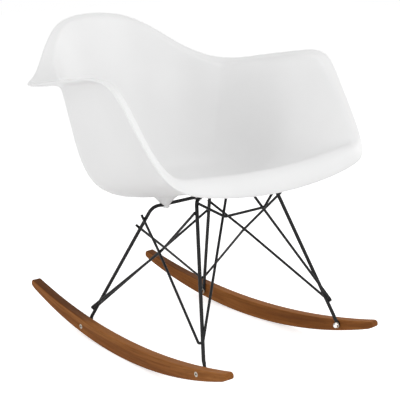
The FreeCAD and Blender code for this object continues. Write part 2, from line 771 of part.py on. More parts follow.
FLOOR_Z = dim("rear_bar_height") + dim("seat_above_rear_bar")
FLOOR_Y = dim("floor_lowest_back")
FRONT_RISE = dim("front_bar_height") + dim("seat_above_front_bar") - FLOOR_Z
FRONT_RISE_AT = FLOOR_Y + dim("front_bar_forward")


def floor_height(x, y):
    """Height of the seat's upper face: rises forward, backward and to the sides of its low point."""
    if y < FLOOR_Y:
        share = (FLOOR_Y - y) / FRONT_RISE_AT
        rise = FRONT_RISE * math.pow(share, 1.5)
    else:
        share = (y - FLOOR_Y) / dim("floor_rise_back_at")
        rise = dim("floor_rise_back") * share * share
    across = abs(x) / dim("floor_rise_side_at")
    return FLOOR_Z + rise + dim("floor_rise_side") * across * across


def floor_reach(angle):
    """How far the seat's floor reaches from its low point, by direction from straight ahead."""
    power = dim("floor_squareness")
    ahead = math.cos(angle)
    reach = dim("floor_reach_front") if ahead > 0 else dim("floor_reach_back")
    term = math.pow(abs(ahead) / reach, power)
    term += math.pow(abs(math.sin(angle)) / dim("floor_half_width"), power)
    return math.pow(term, -1.0 / power)


def outward_at(points, index):
    """Outward direction, level, square to the rim at a station of the half ring."""
    last = len(points) - 1
    if index == 0:
        return Vector(0, -1, 0)
    if index == last:
        return Vector(0, 1, 0)
    run = points[index + 1] - points[index - 1]
    run.z = 0
    square = Vector(run.y, -run.x, 0)
    if square.dot(Vector(points[index].x, points[index].y - FLOOR_Y, 0)) < 0:
        square = square * -1.0
    return square.normalize()


def largest(part_name, sign=1.0):
    """The largest value in a column of the rim's stations, or the largest below zero."""
    return max(sign * dim("rim_%s_%s" % (entry[0], part_name)) for entry in RIM)


WIDEN = dim("shell_half_width") / largest("half")
LENGTHEN_FRONT = dim("shell_reach_front") / largest("behind", -1.0)
LENGTHEN_BACK = dim("shell_reach_back") / largest("behind")
RAISE = dim("shell_rise") / largest("above")
TURN = dim("edge_turn") / largest("turn")
CREST = dim("crest_rise") / largest("crest")
ROLL = dim("edge_roll") / largest("roll")

rim_half = []
crest_half = []
roll_half = []
for entry in RIM:
    behind = dim("rim_%s_behind" % entry[0])
    behind = behind * (LENGTHEN_BACK if behind > 0 else LENGTHEN_FRONT)
    pitch_line = FLOOR_Z - FRONT_RISE * behind / FRONT_RISE_AT
    rim_half.append(Vector(dim("rim_%s_half" % entry[0]) * WIDEN, FLOOR_Y + behind,
                           pitch_line + dim("rim_%s_above" % entry[0]) * RAISE))
for index, entry in enumerate(RIM):
    outward = outward_at(rim_half, index)
    turn = dim("rim_%s_turn" % entry[0]) * TURN
    lift = dim("rim_%s_crest" % entry[0]) * CREST
    bulge = dim("rim_%s_roll" % entry[0]) * ROLL
    run = outward * turn - Vector(0, 0, lift)
    crest = rim_half[index] - run
    square = (outward * lift + Vector(0, 0, turn)).normalize()
    crest_half.append(crest)
    roll_half.append(crest + run * dim("edge_roll_share") + square * bulge)

RIM_ROW = 9
rows_half = [[] for _ in range(RIM_ROW + 1)]
for index, crest in enumerate(crest_half):
    dx = crest.x
    dy = crest.y - FLOOR_Y
    angle = math.atan2(dx, -dy)
    direction = Vector(math.sin(angle), -math.cos(angle), 0)
    reach = floor_reach(angle)
    centre = Vector(0, FLOOR_Y, FLOOR_Z)
    disc = dim("floor_disc_radius")
    rows_half[0].append(centre + direction * disc)
    rows_half[1].append(centre + direction * (disc * 1.7))
    for slot, share in ((2, 0.62), (3, 1.0)):
        p = centre + direction * (reach * share)
        p.z = floor_height(p.x, p.y)
        rows_half[slot].append(p)
    foot_point = rows_half[3][-1]
    sideways = abs(math.sin(angle))
    backward = max(0.0, -math.cos(angle))
    belly = dim("wall_belly_side") * sideways * sideways + dim("wall_belly_back") * backward * backward
    for slot, share, swell in ((4, 0.30, 1.0), (5, 0.66, dim("wall_belly_upper_share")), (6, 0.90, 0.0)):
        p = foot_point + (crest - foot_point) * share
        p = p + direction * (belly * swell) - Vector(0, 0, 1) * (0.3 * belly * swell)
        rows_half[slot].append(p)
    rows_half[7].append(Vector(crest))
    rows_half[8].append(Vector(roll_half[index]))
    rows_half[RIM_ROW].append(Vector(rim_half[index]))

inner_rows = [closed_ring(half) for half in rows_half]
COLUMNS = len(inner_rows[0])
WALL = dim("shell_wall")


def outer_normal(row_index, column):
    """Direction from the seat's upper face towards its underside, from neighbouring points."""
    nxt = inner_rows[row_index][(column + 1) % COLUMNS]
    prv = inner_rows[row_index][column - 1]
    up = inner_rows[min(row_index + 1, RIM_ROW)][column]
    down = inner_rows[max(row_index - 1, 0)][column]
    normal = (nxt - prv).cross(up - down)
    return normal.normalize()


probe = outer_normal(0, 0)
SIGN = 1.0 if probe.z < 0 else -1.0
outer_rows = []
for row_index in range(RIM_ROW + 1):
    ring = []
    for column in range(COLUMNS):
        if row_index < 2:
            shift = Vector(0, 0, -WALL)
        else:
            shift = outer_normal(row_index, column) * (SIGN * WALL)
        ring.append(inner_rows[row_index][column] + shift)
    outer_rows.append(ring)

lip_in = []
lip_mid = []
lip_out = []
for column in range(COLUMNS):
    rim = inner_rows[RIM_ROW][column]
    half_wall = (outer_rows[RIM_ROW][column] - rim) * (dim("rim_thickness") / WALL / 2.0)
    lip_in.append(rim - half_wall)
    lip_mid.append(Vector(rim))
    lip_out.append(rim + half_wall)
profile = inner_rows[:RIM_ROW] + [lip_in, lip_mid, lip_out] + outer_rows[RIM_ROW - 1::-1]

columns_first = []
control_rows = [through(ring) for ring in profile]
for column in range(COLUMNS):
    columns_first.append([control_rows[r][column] for r in range(len(control_rows))])
rows_count = len(control_rows)
surface = Part.BSplineSurface()
surface.buildFromPolesMultsKnots(
    columns_first,
    [1] * (COLUMNS + 1),
    [4] + [1] * (rows_count - 4) + [4],
    [float(i) for i in range(COLUMNS + 1)],
    [float(i) for i in range(rows_count - 2)],
    True, False, 3, 3)
skin = surface.toShape()


def level_ring(face, height):
    for edge in face.Edges:
        box = edge.BoundBox
        if abs(box.ZMin - height) < 0.01 and abs(box.ZMax - height) < 0.01:
            return edge
    raise RuntimeError("no ring at %g" % height)


upper_disc = Part.Face(Part.Wire([level_ring(skin, FLOOR_Z)]))
lower_disc = Part.Face(Part.Wire([level_ring(skin, FLOOR_Z - WALL)]))
bowl = Part.Solid(Part.Shell([skin, upper_disc, lower_disc]))
if bowl.Volume < 0:
    bowl.reverse()

BOSSES = (
    ("rear", dim("rear_boss_offset"), dim("rear_bar_back"), dim("rear_bar_height")),
    ("front", dim("front_boss_offset"), -dim("front_bar_forward"), dim("front_bar_height")),
)
shell_shape = bowl
groove_radius = LEG / 2.0 + dim("bar_play")
pilot_radius = dim("clip_screw_shank") / 2.0
thread_depth = dim("clip_screw_length") - LEG / 2.0 - dim("clip_thickness") + 1.0
groove_length = 2.0 * dim("boss_top_radius")


def boss(x, y, z):
    """Post that flares from the frame's bar into the underside of the seat."""
    gap = floor_height(x, y) - WALL - z
    waist = gap * 0.3
    low = Part.makeCone(dim("boss_radius"), dim("boss_waist_radius"), waist, Vector(x, y, z))
    high = Part.makeCone(dim("boss_waist_radius"), dim("boss_top_radius"), gap - waist, Vector(x, y, z + waist))
    cap = Part.makeCylinder(dim("boss_top_radius"), dim("boss_cap_height"), Vector(x, y, z + gap))
    pieces = low.fuse([high, cap]).cut(bowl).Solids
    pieces.sort(key=lambda s: s.CenterOfMass.z)
    return pieces[0]


for place, offset, y, z in BOSSES:
    for sign in (1.0, -1.0):
        x = sign * offset
        shell_shape = shell_shape.fuse(boss(x, y, z))
        groove_start = Vector(x - groove_length / 2.0, y, z)
        groove = Part.makeCylinder(groove_radius, groove_length, groove_start, Vector(1, 0, 0))
        shell_shape = shell_shape.cut(groove)
        for step in (1.0, -1.0):
            pilot_at = Vector(x, y + step * dim("clip_screw_offset"), z - 1.0)
            pilot = Part.makeCylinder(pilot_radius, thread_depth, pilot_at)
            shell_shape = shell_shape.cut(pilot)
shell_shape = shell_shape.removeSplitter()
if len(shell_shape.Solids) == 1:
    shell_shape = shell_shape.Solids[0]
seat_shell = doc.addObject("Part::Feature", "seat_shell_part")
seat_shell.Shape = shell_shape
node(seat_shell, "seat_shell")

# Clips and their screws.

for place, offset, y, z in BOSSES:
    drop = LEG / 2.0 + dim("clip_thickness")
    disc = doc.addObject("Part::Cylinder", "clip_disc_" + place)
    bind(disc, Radius="dims.boss_radius", Height="dims.leg_rod / 2 + dims.clip_thickness")
    disc.Placement = Placement(Vector(offset, y, z - drop), Rotation())
    groove = doc.addObject("Part::Cylinder", "clip_groove_" + place)
    bind(groove, Radius="dims.leg_rod / 2 + dims.bar_play", Height="dims.boss_radius * 4")
    groove.Placement = Placement(Vector(offset - 2.0 * dim("boss_radius"), y, z),
                                 Rotation(Vector(0, 1, 0), 90))
    tools = [groove]
    screws = []
    for step in (1.0, -1.0):
        tag = "%s_%s" % (place, "behind" if step > 0 else "ahead")
        at_y = y + step * dim("clip_screw_offset")
        passage = doc.addObject("Part::Cylinder", "clip_passage_" + tag)
        bind(passage, Radius="dims.clip_screw_shank / 2 + dims.bar_play", Height="dims.boss_radius * 2")
        passage.Placement = Placement(Vector(offset, at_y, z - drop - 5.0), Rotation())
        tools.append(passage)
        head = doc.addObject("Part::Cylinder", "clip_screw_head_" + tag)
        bind(head, Radius="dims.clip_screw_head / 2", Height="dims.clip_screw_head_height")
        head_base = z - drop - dim("clip_screw_head_height")
        head.Placement = Placement(Vector(offset, at_y, head_base), Rotation())
        slot = doc.addObject("Part::Box", "clip_screw_slot_" + tag)
        bind(slot, Length="dims.clip_screw_head * 2", Width="dims.screw_slot_width",
             Height="dims.screw_slot_depth * 2")
        slot.Placement = Placement(Vector(offset - dim("clip_screw_head"), at_y - dim("screw_slot_width") / 2.0,
                                          head_base - dim("screw_slot_depth")), Rotation())
        shank = doc.addObject("Part::Cylinder", "clip_screw_shank_" + tag)
        bind(shank, Radius="dims.clip_screw_shank / 2", Height="dims.clip_screw_length")
        shank.Placement = Placement(Vector(offset, at_y, z - drop), Rotation())
        screws.append(cut("clip_screw_" + tag, fused("clip_screw_body_" + tag, [head, shank]), slot))
    strip = doc.addObject("Part::Box", "clip_strip_" + place)
    bind(strip, Length="dims.clip_width", Width="dims.boss_radius * 3",
         Height="dims.leg_rod / 2 + dims.clip_thickness")
    strip.Placement = Placement(Vector(offset - dim("clip_width") / 2.0, y - dim("boss_radius") * 1.5, z - drop),
                                Rotation())
    saddle = doc.addObject("Part::Common", "clip_saddle_" + place)
    saddle.Base = disc
    saddle.Tool = strip
    saddle.Refine = False
    clip = cut("frame_clip_part_" + place, saddle, fused("clip_tools_" + place, tools))
    pair = doc.addObject("Part::Compound", "clip_screw_pair_" + place)
    pair.Links = screws
    doc.recompute()
    node(clip, "frame_clip_%s_left" % place)
    node(mirrored(clip, "frame_clip_%s_right" % place), "frame_clip_%s_right" % place)
    node(pair, "clip_screws_%s_left" % place)
    node(mirrored(pair, "clip_screws_%s_right" % place), "clip_screws_%s_right" % place)

doc.recompute()

# Checks, then one file per sub-part.

for obj in doc.Objects:
    for state in obj.State:
        if state in ("Invalid", "Error"):
            raise RuntimeError("%s is %s" % (obj.Name, state))
for obj, name in NODES:
    shape = obj.Shape
    if shape.isNull() or not shape.isValid():
        raise RuntimeError("bad shape in " + name)
    if len(shape.Solids) < 1:
        raise RuntimeError("no solid in " + name)

os.makedirs("parts", exist_ok=True)
for obj, name in NODES:
    obj.Shape.exportStep(os.path.join("parts", name + ".step"))
    box = obj.Shape.BoundBox
    print("%-28s solids %d volume %9.1f  x %.1f %.1f  y %.1f %.1f  z %.1f %.1f" % (
        name, len(obj.Shape.Solids), obj.Shape.Volume,
        box.XMin, box.XMax, box.YMin, box.YMax, box.ZMin, box.ZMax))
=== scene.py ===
"""Looks of the moulded plastic rocking armchair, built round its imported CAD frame.

Metres, +Z up, floor at z = 0, the chair faces -Y and the sitter's left is +X. The sizes of the
shell, its bosses and the weld beads are millimetres, as in the solid model, until they are meshed.
"""

import math

import bpy
import numpy as np
from mathutils import Matrix, Vector


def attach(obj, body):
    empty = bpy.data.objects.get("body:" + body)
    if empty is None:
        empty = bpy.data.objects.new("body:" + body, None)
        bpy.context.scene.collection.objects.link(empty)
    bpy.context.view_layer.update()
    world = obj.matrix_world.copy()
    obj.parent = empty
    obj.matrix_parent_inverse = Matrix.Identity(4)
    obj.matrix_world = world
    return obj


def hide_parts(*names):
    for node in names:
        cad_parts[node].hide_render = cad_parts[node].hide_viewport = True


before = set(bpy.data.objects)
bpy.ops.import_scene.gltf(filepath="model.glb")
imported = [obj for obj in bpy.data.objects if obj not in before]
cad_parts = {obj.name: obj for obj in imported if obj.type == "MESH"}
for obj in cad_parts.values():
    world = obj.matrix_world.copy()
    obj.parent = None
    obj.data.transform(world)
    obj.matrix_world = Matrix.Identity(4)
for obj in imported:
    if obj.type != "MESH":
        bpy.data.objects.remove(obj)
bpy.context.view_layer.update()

MM = 0.001


# Small tools for meshes.

def mesh_piece(name, points, blocks, material, smooth):
    """An object at the origin whose mesh holds the points, in metres, and the blocks of faces.

    A block is an array of faces with the same count of corners, and smooth has one value a block.
    """
    mesh = bpy.data.meshes.new(name)
    mesh.from_pydata(points.tolist(), [], [face for block in blocks for face in block.tolist()])
    shading = np.repeat(smooth, [len(block) for block in blocks])
    mesh.polygons.foreach_set("use_smooth", shading.tolist())
    mesh.update()
    mesh.materials.append(material)
    piece = bpy.data.objects.new(name, mesh)
    bpy.context.scene.collection.objects.link(piece)
    return piece


def turned(profile, steps):
    """Surface of revolution: each (radius, height) of the profile swept round the z axis."""
    profile = np.asarray(profile, float)
    angle = np.linspace(0.0, 2.0 * np.pi, steps, endpoint=False)
    x = profile[:, :1] * np.cos(angle)
    y = profile[:, :1] * np.sin(angle)
    z = np.repeat(profile[:, 1:], steps, axis=1)
    return np.stack([x, y, z], axis=-1)


def capped(rings, first_pole, last_pole):
    """Points of a stack of rings and its two poles, with quads between neighbouring rings and a
    fan of triangles from each end ring to its pole. Rings that turn left and climb face out."""
    count, columns = rings.shape[:2]
    points = np.concatenate([rings.reshape(-1, 3), [first_pole, last_pole]])
    column = np.arange(columns)
    right = (column + 1) % columns
    row = np.arange(count - 1)[:, None] * columns
    quads = np.stack([row + column, row + right, row + right + columns, row + column + columns],
                     axis=-1)
    pole = np.full(columns, count * columns)
    last_ring = (count - 1) * columns
    fans = np.concatenate([np.stack([pole, right, column], axis=1),
                           np.stack([pole + 1, last_ring + column, last_ring + right], axis=1)])
    return points, (quads.reshape(-1, 4), fans)


# Materials. Every pattern reads Object coordinates, in metres.

class Nodes:
    """A node tree, emptied, and short calls that add to it."""

    def __init__(self, tree):
        self.tree = tree
        tree.nodes.clear()

    def add(self, kind, **settings):
        made = self.tree.nodes.new(kind)
        for key, value in settings.items():
            setattr(made, key, value)
        return made

    def feed(self, socket, value):
        """Links an output to the socket, or sets a number or a colour on it."""
        if isinstance(value, tuple):
            socket.default_value = value + (1.0,)
        elif isinstance(value, (int, float)):
            socket.default_value = value
        else:
            self.tree.links.new(value, socket)

    def stretched(self, source, scale):
        mapping = self.add("ShaderNodeMapping")
        mapping.inputs["Scale"].default_value = scale
        self.feed(mapping.inputs["Vector"], source)
        return mapping.outputs["Vector"]

    def noise(self, source, scale=1.0, detail=3.0, roughness=0.5, distortion=0.0):
        made = self.add("ShaderNodeTexNoise")
        for key, value in (("Vector", source), ("Scale", scale), ("Detail", detail),
                           ("Roughness", roughness), ("Distortion", distortion)):
            self.feed(made.inputs[key], value)
        return made.outputs["Fac"]

    def ramp(self, source, stops):
        made = self.add("ShaderNodeValToRGB")
        elements = made.color_ramp.elements
        while len(elements) < len(stops):
            elements.new(0.5)
        for element, (position, colour) in zip(elements, stops):
            element.position = position
            element.color = tuple(colour) + (1.0,)
        self.feed(made.inputs["Fac"], source)
        return made.outputs["Color"]

    def span(self, source, low, high, first, last):
        """The source's range from low to high carried to first to last, and held beyond it."""
        made = self.add("ShaderNodeMapRange")
        for key, value in (("Value", source), ("From Min", low), ("From Max", high),
                           ("To Min", first), ("To Max", last)):
            self.feed(made.inputs[key], value)
        return made.outputs["Result"]

    def math(self, operation, a, b=0.0):
        made = self.add("ShaderNodeMath", operation=operation)
        self.feed(made.inputs[0], a)
        self.feed(made.inputs[1], b)
        return made.outputs[0]

    def hypotenuse(self, a, b):
        """The square root of a squared plus b squared."""
        squares = [self.math("MULTIPLY", side, side) for side in (a, b)]
        return self.math("SQRT", self.math("ADD", *squares))

    def mixed(self, share, a, b):
        made = self.add("ShaderNodeMix", data_type="RGBA")
        for index, value in ((0, share), (6, a), (7, b)):
            self.feed(made.inputs[index], value)
        return made.outputs[2]

    def seen(self):
        """One for a ray from the camera, a mirror or glass, and zero for light on a surface."""
        path = self.add("ShaderNodeLightPath")
        polished = self.math("MAXIMUM", path.outputs["Is Glossy Ray"],
                             path.outputs["Is Transmission Ray"])
        return self.math("MAXIMUM", path.outputs["Is Camera Ray"], polished)


class Finish(Nodes):
    """A material with one Principled shader, and the place that its patterns read."""

    def __init__(self, name):
        self.material = bpy.data.materials.new(name)
        self.material.use_nodes = True
        super().__init__(self.material.node_tree)
        self.shader = self.add("ShaderNodeBsdfPrincipled")
        out = self.add("ShaderNodeOutputMaterial")
        self.feed(out.inputs["Surface"], self.shader.outputs["BSDF"])
        self.place = self.add("ShaderNodeTexCoord").outputs["Object"]

    def set(self, **values):
        for key, value in values.items():
            self.feed(self.shader.inputs[key.replace("_", " ")], value)

    def bump(self, height, strength, distance):
        made = self.add("ShaderNodeBump")
        for key, value in (("Strength", strength), ("Distance", distance), ("Height", height)):
            self.feed(made.inputs[key], value)
        self.set(Normal=made.outputs["Normal"])


def darker(tone, share):
    """The tone with each of its three parts at the share given."""
    return tuple(part * share for part in tone)


def moulded_plastic(name, tone):
    """Satin white plastic: a faint cloud in its tone and the fine spark texture of the mould."""
    n = Finish(name)
    cloud = n.noise(n.place, scale=7.0, detail=2.0)
    grain = n.noise(n.place, scale=1500.0, detail=2.0, roughness=0.6)
    n.set(Base_Color=n.ramp(cloud, ((0.3, darker(tone, 0.975)), (0.7, tone))),
          Roughness=n.span(cloud, 0.3, 0.7, 0.36, 0.44), IOR=1.49)
    n.bump(grain, strength=0.16, distance=0.00012)
    return n.material


COAT_DARK = (0.004, 0.004, 0.0045)
COAT_LIGHT = (0.009, 0.009, 0.010)


def powder_coat(name):
    """Black powder coat: orange peel a millimetre across and slightly uneven gloss."""
    n = Finish(name)
    peel = n.noise(n.place, scale=1100.0, detail=2.0)
    patch = n.noise(n.place, scale=35.0)
    n.set(Base_Color=n.ramp(patch, ((0.3, COAT_DARK), (0.75, COAT_LIGHT))),
          Roughness=n.span(patch, 0.3, 0.7, 0.38, 0.50), Specular_IOR_Level=0.22)
    n.bump(peel, strength=0.22, distance=0.00016)
    return n.material


# The grain bends about a point this high above the floor. The rockers' upper face is an arc about
# a point of its own; the bands under it say where along the chair its painted shade and light fade
# in.
GRAIN_CENTRE = 1.28
UPPER_FACE_CENTRE = 1.5522
UPPER_FACE_RADIUS = 1.515
UPPER_SHADE_BAND = (0.10, 0.17)
UPPER_LIGHT_BAND = (0.08, 0.14)

WOOD_FIGURE = ((0.28, (0.160, 0.052, 0.011)), (0.5, (0.270, 0.096, 0.021)),
               (0.74, (0.390, 0.160, 0.042)))
WOOD_STREAK = (0.150, 0.048, 0.010)
WOOD_PORE = (0.060, 0.020, 0.005)
# Tones of the painted shade and the painted light on the rockers' upper face.
PAINTED_SHADE_TONE = (0.085, 0.027, 0.006)
PAINTED_LIGHT_TONE = (0.420, 0.165, 0.048)


def bent_wood(name):
    """Stained wood whose grain follows the rocker's curve.

    The pattern's axes are across the plank, along the arc (the angle about the grain's centre
    times that centre's height) and out from that centre, so streaks run the length of the rocker.
    Painted shade darkens the upper face behind the rear legs, under the seat,
    and painted light brightens it ahead of them.
    """
    n = Finish(name)
    split = n.add("ShaderNodeSeparateXYZ")
    n.feed(split.inputs[0], n.place)
    across, back, height = split.outputs
    drop = n.math("SUBTRACT", GRAIN_CENTRE, height)
    bent = n.add("ShaderNodeCombineXYZ")
    n.feed(bent.inputs[0], across)
    n.feed(bent.inputs[1], n.math("MULTIPLY", n.math("ARCTAN2", back, drop), GRAIN_CENTRE))
    n.feed(bent.inputs[2], n.hypotenuse(back, drop))
    along = bent.outputs[0]
    figure = n.noise(n.stretched(along, (22.0, 2.6, 48.0)), detail=5.0, roughness=0.55,
                     distortion=0.9)
    streak = n.noise(n.stretched(along, (150.0, 5.0, 260.0)), detail=4.0, roughness=0.6,
                     distortion=0.3)
    pores = n.noise(n.stretched(along, (900.0, 45.0, 1300.0)), detail=2.0, roughness=0.6)
    tone = n.ramp(figure, WOOD_FIGURE)
    tone = n.mixed(n.span(streak, 0.38, 0.68, 0.0, 0.6), tone, WOOD_STREAK)
    tone = n.mixed(n.span(pores, 0.58, 0.72, 0.0, 0.5), tone, WOOD_PORE)
    fall = n.math("SUBTRACT", UPPER_FACE_CENTRE, height)
    depth = n.math("SUBTRACT", n.hypotenuse(back, fall), UPPER_FACE_RADIUS)
    upper = n.span(depth, 0.0004, 0.0016, 1.0, 0.0)
    # Painted shade on the upper face behind the rear legs, and painted light on it ahead of them.
    painted_shade = n.math("MULTIPLY", upper, n.span(back, *UPPER_SHADE_BAND, 0.0, 0.72))
    light = n.math("MULTIPLY", upper, n.span(back, *UPPER_LIGHT_BAND, 0.55, 0.0))
    tone = n.mixed(painted_shade, tone, PAINTED_SHADE_TONE)
    tone = n.mixed(light, tone, PAINTED_LIGHT_TONE)
    n.set(Base_Color=tone, Roughness=n.span(streak, 0.3, 0.7, 0.55, 0.70), Specular_IOR_Level=0.12)
    relief = n.math("SUBTRACT", streak, n.math("MULTIPLY", pores, 0.8))
    n.bump(relief, strength=0.25, distance=0.00022)
    return n.material


# Where the left bolts' axes meet the rocker's outer face, as y, z and x, and how far y moves
# along the axis for each metre outwards, because the rockers toe in by three degrees.
BOLT_AXES = ((-0.2833, 0.0530, 0.2164), (0.1375, 0.0240, 0.1943))
BOLT_LEAN = 0.0524
SOCKET_EDGE = (0.0020, 0.0026)
# Tone of the painted shade inside each bolt's key socket; the socket edge gives where it fades
# out.
SOCKET_SHADE_TONE = (0.03, 0.027, 0.022)


def turned_steel(name, tone, rough, mark_scale, axes=()):
    """Metal with fine lathe and handling marks that vary its gloss. Round each axis, on the left
    and its mirror image, painted shade for the key socket's hollow darkens the metal out to its
    wall."""
    n = Finish(name)
    marks = n.noise(n.stretched(n.place, (1.0, 3.0, 3.0)), mark_scale, detail=4.0, roughness=0.6)
    colour = n.ramp(marks, ((0.3, darker(tone, 0.86)), (0.7, tone)))
    if axes:
        split = n.add("ShaderNodeSeparateXYZ")
        n.feed(split.inputs[0], n.place)
        out = n.math("ABSOLUTE", split.outputs[0])
        nearest = None
        for y, z, x in axes:
            lean = n.math("MULTIPLY", n.math("SUBTRACT", out, x), BOLT_LEAN)
            back = n.math("SUBTRACT", n.math("SUBTRACT", split.outputs[1], y), lean)
            gap = n.hypotenuse(back, n.math("SUBTRACT", split.outputs[2], z))
            nearest = gap if nearest is None else n.math("MINIMUM", nearest, gap)
        # Painted shade inside each key socket, round each bolt's axis.
        colour = n.mixed(n.span(nearest, *SOCKET_EDGE, 1.0, 0.0), colour, SOCKET_SHADE_TONE)
    n.set(Base_Color=colour, Roughness=n.span(marks, 0.3, 0.7, rough * 0.8, rough * 1.25),
          Metallic=1.0)
    n.bump(marks, strength=0.08, distance=0.0001)
    return n.material


white_shell = moulded_plastic("white_shell_plastic", (0.88, 0.88, 0.88))
white_clip = moulded_plastic("white_clip_plastic", (0.82, 0.82, 0.82))
black_rod = powder_coat("black_powder_coat")
rocker_wood = bent_wood("stained_rocker_wood")
screw_steel = turned_steel("screw_steel", (0.60, 0.59, 0.57), 0.34, 900.0)
bolt_steel = turned_steel("bolt_steel", (0.50, 0.45, 0.38), 0.34, 700.0, BOLT_AXES)
bright_nut = turned_steel("bright_nut_steel", (0.88, 0.87, 0.85), 0.16, 500.0)


# The moulded shell, as in the solid model: control rows from the seat's middle out to the rim,
# round the rolled edge and back under the seat, then one smooth surface through them.

SHELL_WALL = 5.0
RIM_THICKNESS = 8.0

# The seat's floor: its lowest point, and each rise with the distance at which it is reached.
FLOOR_Z = 331.0
FLOOR_Y = 40.0
RISE_FRONT = 52.1
RISE_FRONT_AT = 198.8
RISE_BACK = 12.0
RISE_BACK_AT = 145.0
RISE_SIDE = 16.0
RISE_SIDE_AT = 180.0

# The floor's plan: how far it reaches, the two level rings at its middle, and the shares of the
# reach at which its other rows lie.
REACH_FRONT = 212.0
REACH_BACK = 140.0
FLOOR_HALF_WIDTH = 186.0
SQUARENESS = 2.05
FLOOR_DISC = 34.0
SECOND_RING = 1.7
FLOOR_SHARES = (0.62, 1.0)

# The wall's belly: its swell at the side and the back, how far it hangs for its swell, and the
# rows up the wall, each with its share of the way to the crest and its share of the swell.
BELLY_SIDE = 11.0
BELLY_BACK = 9.0
BELLY_HANG = 0.3
WALL_ROWS = ((0.30, 1.0), (0.66, 0.35), (0.90, 0.0))
ROLL_SHARE = 0.35

# Half width, distance behind the seat's lowest point, height above the seat's pitch line, outward
# turn of the edge, height of its crest over the rim and fullness of its roll, from the middle of
# the front edge round the sitter's left to the top of the back.
RIM = np.array((
    (0.0, -352.7, -29.4, 34.0, 43.0, 9.0),
    (85.0, -352.0, -25.7, 34.0, 41.5, 9.0),
    (158.0, -349.5, -16.6, 33.0, 38.0, 9.0),
    (220.0, -340.5, -3.2, 29.0, 31.0, 8.0),
    (252.0, -324.0, 13.1, 24.0, 21.0, 6.0),
    (273.0, -300.0, 42.4, 19.0, 11.0, 4.0),
    (287.0, -262.0, 101.3, 17.0, 4.0, 2.0),
    (295.0, -218.0, 172.9, 20.0, 1.0, 1.0),
    (302.5, -180.0, 227.8, 26.0, -3.0, 0.0),
    (307.0, -136.0, 255.4, 34.0, -4.0, 0.0),
    (306.0, -80.0, 264.0, 42.0, -5.0, 0.0),
    (306.0, -15.0, 269.1, 48.0, -5.0, 0.0),
    (305.0, 50.0, 273.6, 60.0, -3.0, 0.0),
    (298.0, 105.0, 277.5, 69.0, -1.0, 0.0),
    (278.0, 145.0, 285.5, 70.0, 0.0, 0.0),
    (243.0, 175.0, 301.9, 57.0, -2.0, 0.0),
    (199.0, 216.0, 337.6, 32.0, -4.0, 0.0),
    (148.0, 258.0, 387.6, 20.0, -5.0, 0.0),
    (84.0, 293.0, 427.3, 16.0, -4.0, 0.0),
    (0.0, 304.0, 439.2, 15.0, -4.0, 0.0),
))

# Surface rows for each span across the control rows, and columns for each round the rim. The
# underside of the seat begins this many rows past the middle of the edge.
ROWS_A_SPAN = 8
COLUMNS_A_SPAN = 10
UNDERSIDE_ROWS_PAST_EDGE = 30


def seat_height(x, y):
    """Seat floor: the low point's height, plus a rise ahead as distance to the power 1.5,
    a rise behind as its square, and a rise sideways as the square of the half width."""
    ahead = np.clip((FLOOR_Y - y) / RISE_FRONT_AT, 0.0, None)
    behind = np.clip((y - FLOOR_Y) / RISE_BACK_AT, 0.0, None)
    aside = x / RISE_SIDE_AT
    return FLOOR_Z + RISE_FRONT * ahead ** 1.5 + RISE_BACK * behind ** 2 + RISE_SIDE * aside ** 2


def seat_reach(angle):
    """Superellipse in plan, with its own reach ahead, behind and to the side."""
    ahead = np.cos(angle)
    length = np.where(ahead > 0.0, REACH_FRONT, REACH_BACK)
    aside = np.abs(np.sin(angle)) / FLOOR_HALF_WIDTH
    return ((np.abs(ahead) / length) ** SQUARENESS + aside ** SQUARENESS) ** (-1.0 / SQUARENESS)


def closed(half):
    """A half ring with its mirror image added, so that it closes."""
    return np.vstack([half, half[-2:0:-1] * np.array([-1.0, 1.0, 1.0])])


def unit(vectors):
    """Each row of the array at length one."""
    return vectors / np.linalg.norm(vectors, axis=1)[:, None]


def rim_outward(rim):
    """Level direction out of the chair, square to the rim, at each station of the half ring."""
    out = np.zeros_like(rim)
    out[0] = (0.0, -1.0, 0.0)
    out[-1] = (0.0, 1.0, 0.0)
    run = rim[2:] - rim[:-2]
    square = np.stack([run[:, 1], -run[:, 0], np.zeros(len(run))], axis=1)
    centred = rim[1:-1] - np.array([0.0, FLOOR_Y, 0.0])
    square *= np.sign((square * centred).sum(1))[:, None]
    out[1:-1] = unit(square)
    return out


def upper_rows():
    """Control rows of the shell's upper face, from the seat's middle up the wall to the crest and
    over the rolled edge to the rim. A wall row lies between floor and crest, pushed out by the
    belly, which grows as the square of how far the row faces the side or the back."""
    behind, turn, lift, bulge = RIM[:, 1], RIM[:, 3:4], RIM[:, 4:5], RIM[:, 5:6]
    pitch_line = FLOOR_Z - RISE_FRONT * behind / RISE_FRONT_AT
    rim = np.stack([RIM[:, 0], FLOOR_Y + behind, pitch_line + RIM[:, 2]], axis=1)
    out = rim_outward(rim)
    up = np.array([0.0, 0.0, 1.0])
    run = out * turn - up * lift
    crest = rim - run
    roll = crest + run * ROLL_SHARE + unit(out * lift + up * turn) * bulge
    angle = np.arctan2(crest[:, 0], FLOOR_Y - crest[:, 1])
    way = np.stack([np.sin(angle), -np.cos(angle), np.zeros(len(angle))], axis=1)
    middle = np.array([0.0, FLOOR_Y, FLOOR_Z])
    rows = [middle + way * FLOOR_DISC, middle + way * FLOOR_DISC * SECOND_RING]
    for share in FLOOR_SHARES:
        row = middle + way * seat_reach(angle)[:, None] * share
        row[:, 2] = seat_height(row[:, 0], row[:, 1])
        rows.append(row)
    foot = rows[-1]
    backward = np.clip(-np.cos(angle), 0.0, None)
    belly = (BELLY_SIDE * np.sin(angle) ** 2 + BELLY_BACK * backward ** 2)[:, None]
    for share, swell in WALL_ROWS:
        rows.append(foot + (crest - foot) * share + (way - up * BELLY_HANG) * belly * swell)
    return [closed(row) for row in rows + [crest, roll, rim]]


